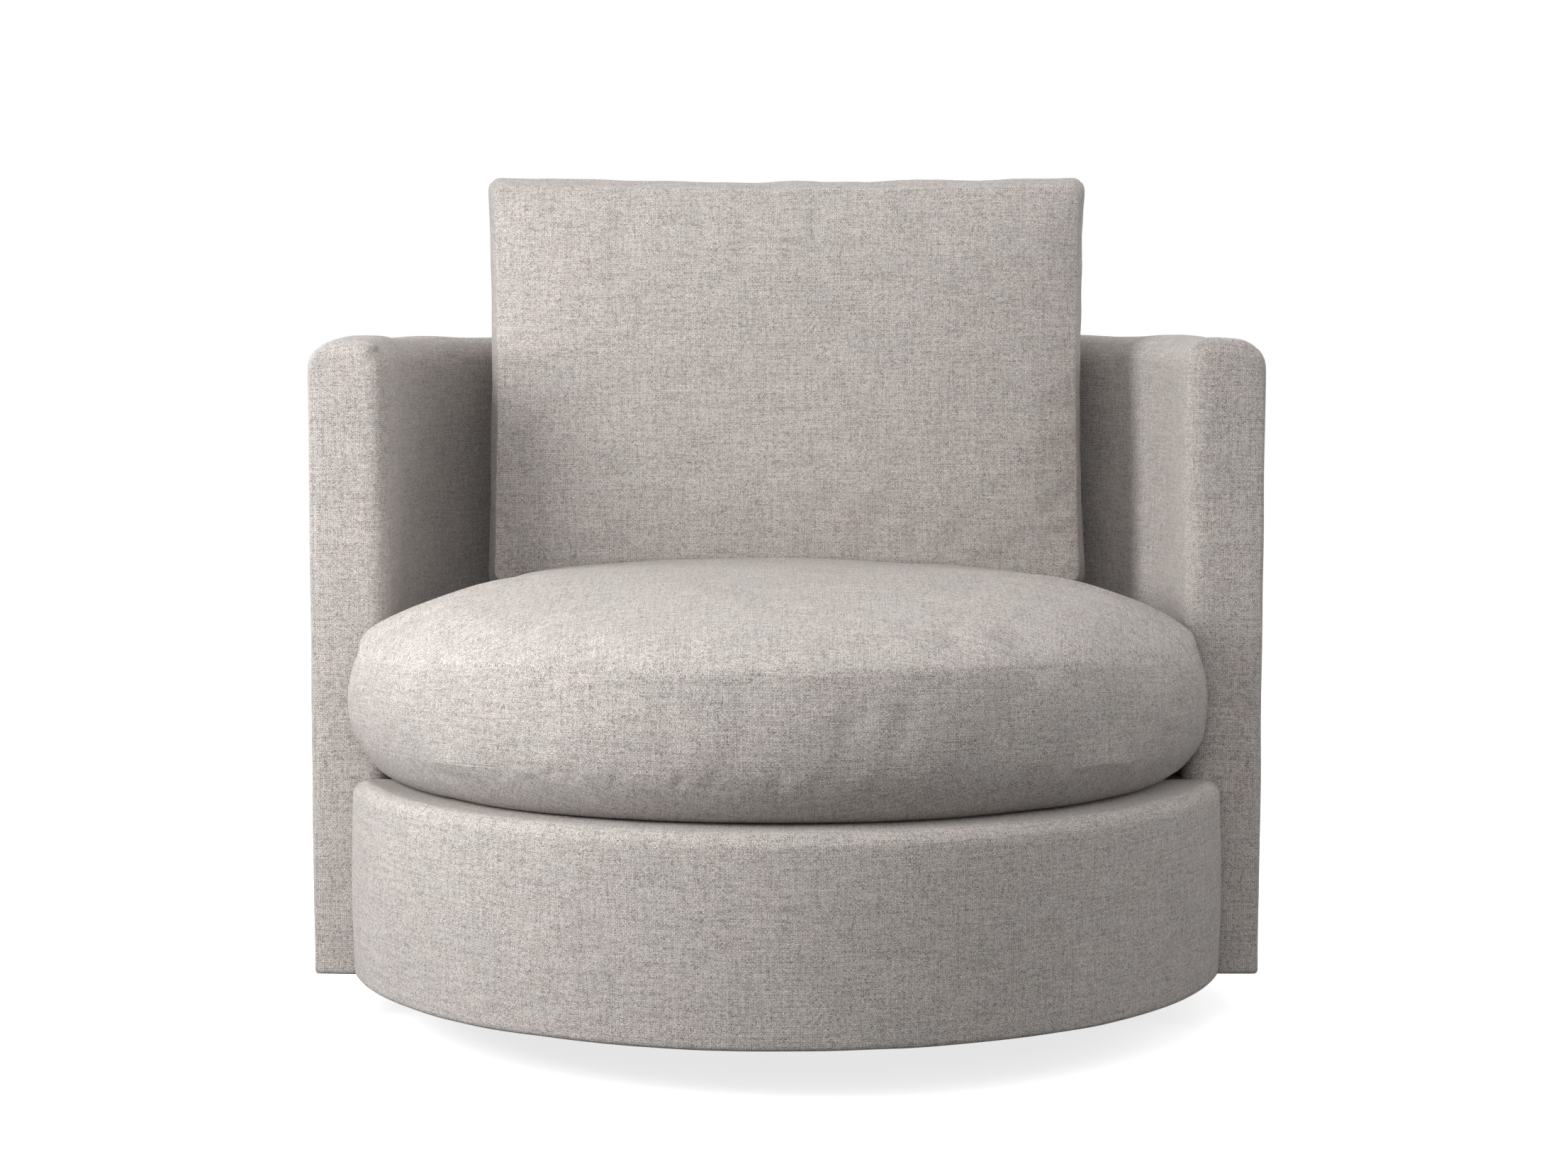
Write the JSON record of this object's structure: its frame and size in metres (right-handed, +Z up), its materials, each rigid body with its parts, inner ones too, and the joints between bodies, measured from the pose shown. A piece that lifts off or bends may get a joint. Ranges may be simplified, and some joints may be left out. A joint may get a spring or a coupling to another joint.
{
  "type": "upholstered barrel swivel chair",
  "caption": "Round upholstered swivel chair: a curved padded wrap makes the back and arms round a drum deck, with a loose crowned seat cushion and a loose boxed back cushion.",
  "frame": {"origin": "on the floor, under the swivel axis, which is the middle of the round wrap", "axes": "+Z up along the swivel axis; the chair faces -Y; +X is to the right of a viewer who faces its front"},
  "size_m": [0.97, 0.97, 0.8728],
  "materials": {
    "glide_plastic": "moulded nylon",
    "fastener_steel": "zinc plated",
    "base_board": "plywood disc with a satin black stain",
    "plate_steel": "zinc-plated pressed steel",
    "plywood": "unfinished birch plywood",
    "hardwood": "unfinished planed hardwood",
    "webbing": "woven elastic webbing",
    "foam": "open-cell foam",
    "fibre": "polyester fibre wadding",
    "deck_cloth": "plain decking cloth",
    "dust_cloth": "thin non-woven cloth",
    "upholstery": "warm light grey basket weave with a slub yarn",
    "zip_tape": "nylon coil zip on a woven tape",
    "zip_metal": "plain die-cast slider"
  },
  "bodies": {
    "base": {"base_disc": "base_board", "glides": "glide_plastic", "glide_screws": "fastener_steel", "lower_plate": "plate_steel", "lower_plate_screws": "fastener_steel", "kingpin": "fastener_steel", "kingpin_washer": "fastener_steel", "kingpin_nut": "fastener_steel"},
    "ball_set": {"bearing_balls": "fastener_steel", "ball_cage": "plate_steel"},
    "chair": {"upper_plate_bolts": "fastener_steel", "plate_tee_nuts": "fastener_steel", "rail_screws": "fastener_steel", "wrap_bolts": "fastener_steel", "wrap_tee_nuts": "fastener_steel", "upper_plate": "plate_steel", "swivel_board": "plywood", "bottom_ring": "plywood", "deck_ring": "plywood", "drum_skin": "plywood", "wrap_bottom_rail": "plywood", "wrap_seat_rail": "plywood", "wrap_top_rail": "plywood", "wrap_outer_skin": "plywood", "wrap_inner_skin": "plywood", "cross_rails": "hardwood", "deck_posts": "hardwood", "wrap_studs": "hardwood", "arm_posts": "hardwood", "webbing_lengthwise": "webbing", "webbing_crosswise": "webbing", "deck_foam": "foam", "drum_foam": "foam", "wrap_inner_foam": "foam", "arm_front_foam": "foam", "wrap_top_foam": "foam", "wrap_wadding": "fibre", "deck_cloth": "deck_cloth", "dust_cover": "dust_cloth", "drum_cover": "upholstery", "wrap_cover": "upholstery"},
    "seat_cushion": {"seat_cover": "upholstery", "seat_fibre": "fibre", "seat_core": "foam", "seat_zip": "zip_tape"},
    "seat_slider": {"seat_zip_slider": "zip_metal"},
    "back_cushion": {"back_cover": "upholstery", "back_fibre": "fibre", "back_core": "foam", "back_zip": "zip_tape"},
    "back_slider": {"back_zip_slider": "zip_metal"}
  },
  "joints": [
    {"name": "swivel", "type": "hinge", "parent": "base", "child": "chair", "pos_m": [0, 0, 0.0515], "axis": [0, 0, 1], "continuous": true},
    {"name": "ball_travel", "type": "hinge", "parent": "base", "child": "ball_set", "pos_m": [0, 0, 0.04075], "axis": [0, 0, 1], "continuous": true},
    {"name": "seat_lift", "type": "slide", "parent": "chair", "child": "seat_cushion", "axis": [0, 0, 1], "range_m": [0, 0.46]},
    {"name": "back_lift", "type": "slide", "parent": "seat_cushion", "child": "back_cushion", "axis": [0, 0, 1], "range_m": [0, 0.3]},
    {"name": "seat_zip_run", "type": "hinge", "parent": "seat_cushion", "child": "seat_slider", "pos_m": [0, -0.006, 0.3495], "axis": [0, 0, 1], "range_deg": [0, 84]},
    {"name": "back_zip_run", "type": "slide", "parent": "back_cushion", "child": "back_slider", "axis": [1, 0, 0], "range_m": [0, 0.448]}
  ],
  "couplings": [
    {"joint": "ball_travel", "follows": "swivel", "ratio": 0.5}
  ]
}
